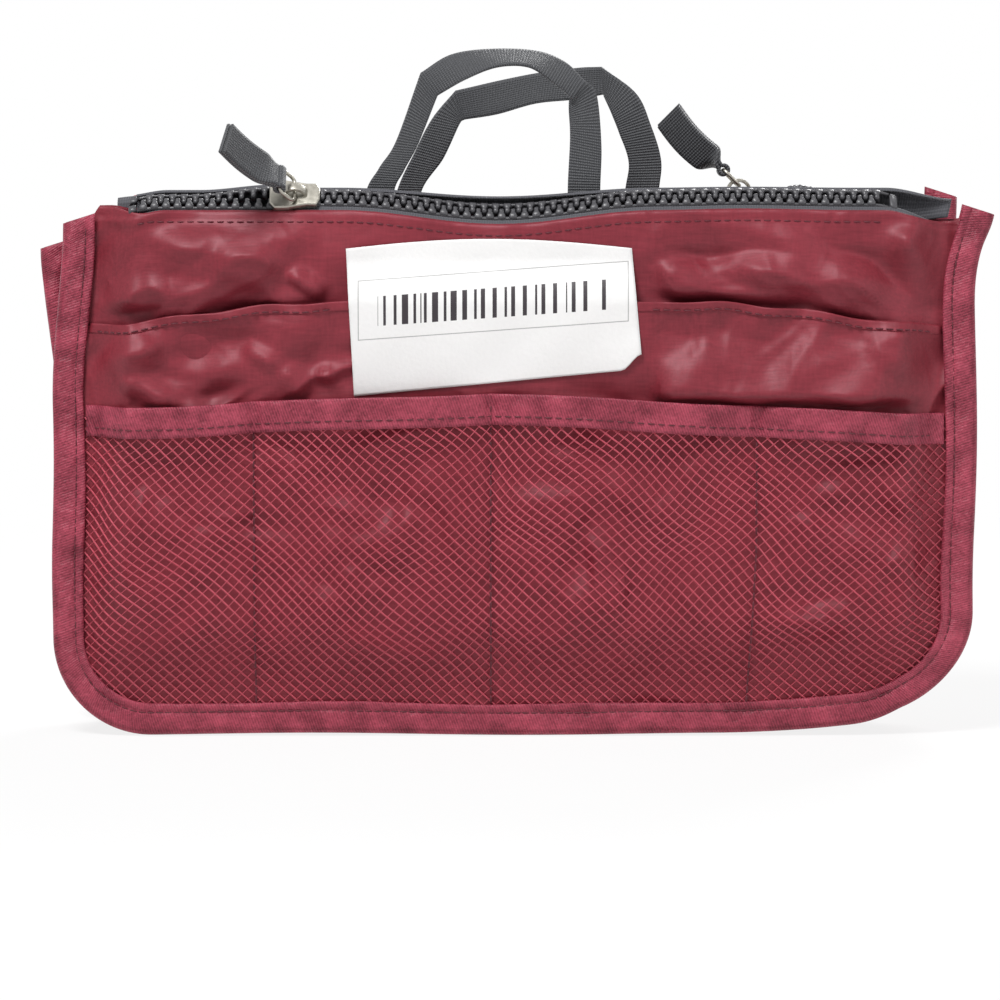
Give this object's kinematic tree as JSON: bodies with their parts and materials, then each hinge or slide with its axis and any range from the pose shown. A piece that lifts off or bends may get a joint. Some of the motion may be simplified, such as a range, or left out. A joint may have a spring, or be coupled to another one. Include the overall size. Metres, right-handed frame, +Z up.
{
  "type": "purse organizer insert",
  "caption": "Soft nylon bag-in-bag insert with two zipped walls, an open middle with a folding gusset, mesh and slip pockets, and webbing handles.",
  "frame": {"origin": "middle of the flat base on the surface the bag stands on", "axes": "+X along the bag's width to the right as seen from the front, -Y toward the front with the mesh pocket, +Z up"},
  "size_m": [0.29, 0.0744, 0.2154],
  "materials": {
    "nylon": "glossy plain-weave nylon taffeta, burgundy",
    "binding": "ribbed twill tape, burgundy",
    "net": "knitted diamond mesh, burgundy",
    "webbing": "ribbed polyester webbing, dark grey",
    "zip_tape": "woven zipper tape, blue grey",
    "teeth": "moulded, dark grey",
    "nickel": "nickel-plated, satin",
    "paper": "blank white paper label"
  },
  "bodies": {
    "back_wall": {"back_binding": "binding", "back_outer_panel": "nylon", "back_inner_panel": "nylon", "back_slip_pocket": "nylon", "back_pocket_band": "binding", "back_zip_tape_outer": "zip_tape", "back_zip_tape_inner": "zip_tape", "back_zip_teeth_outer": "teeth", "back_zip_teeth_inner": "teeth", "back_zip_top_stop_outer": "teeth", "back_zip_top_stop_inner": "teeth", "back_zip_bottom_stop": "teeth", "back_handle_left_end": "webbing", "back_handle_right_end": "webbing", "gusset": "nylon"},
    "front_wall": {"front_binding": "binding", "front_outer_panel": "nylon", "front_inner_panel": "nylon", "front_slip_pocket": "nylon", "front_mesh_pocket": "net", "front_mesh_band": "binding", "paper_label": "paper", "front_zip_tape_outer": "zip_tape", "front_zip_tape_inner": "zip_tape", "front_zip_teeth_outer": "teeth", "front_zip_teeth_inner": "teeth", "front_zip_top_stop_outer": "teeth", "front_zip_top_stop_inner": "teeth", "front_zip_bottom_stop": "teeth", "front_handle_left_end": "webbing", "front_handle_right_end": "webbing"},
    "front_slider": {"front_zip_slider": "nickel"},
    "front_pull": {"front_pull_bail": "nickel", "front_pull_tab": "webbing"},
    "back_slider": {"back_zip_slider": "nickel"},
    "back_pull": {"back_pull_bail": "nickel", "back_pull_tab": "webbing"},
    "front_handle": {"front_handle_loop": "webbing"},
    "back_handle": {"back_handle_loop": "webbing"}
  },
  "joints": [
    {"name": "wall_expand", "type": "slide", "parent": "back_wall", "child": "front_wall", "axis": [0, -1, 0], "range_m": [-0.01, 0.024], "deforming": ["gusset"]},
    {"name": "front_slider_travel", "type": "slide", "parent": "front_wall", "child": "front_slider", "axis": [1, 0, 0], "range_m": [-0.041, 0.177], "deforming": ["front_zip_teeth_outer", "front_zip_teeth_inner"]},
    {"name": "front_pull_swing", "type": "hinge", "parent": "front_slider", "child": "front_pull", "pos_m": [-0.068, -0.02065, 0.17215], "axis": [0, 0.7071, 0.7071], "range_deg": [-36, 115]},
    {"name": "back_slider_travel", "type": "slide", "parent": "back_wall", "child": "back_slider", "axis": [1, 0, 0], "range_m": [-0.181, 0.037], "deforming": ["back_zip_teeth_outer", "back_zip_teeth_inner"]},
    {"name": "back_pull_swing", "type": "hinge", "parent": "back_slider", "child": "back_pull", "pos_m": [0.072, 0.01826, 0.17174], "axis": [0, -0.9976, 0.0698], "range_deg": [-120, 31]},
    {"name": "front_handle_swing", "type": "hinge", "parent": "front_wall", "child": "front_handle", "pos_m": [0, -0.00978, 0.17762], "axis": [1, 0, 0], "range_deg": [0, 85]},
    {"name": "back_handle_swing", "type": "hinge", "parent": "back_wall", "child": "back_handle", "pos_m": [0, 0.00978, 0.17015], "axis": [1, 0, 0], "range_deg": [-85, 0]}
  ]
}
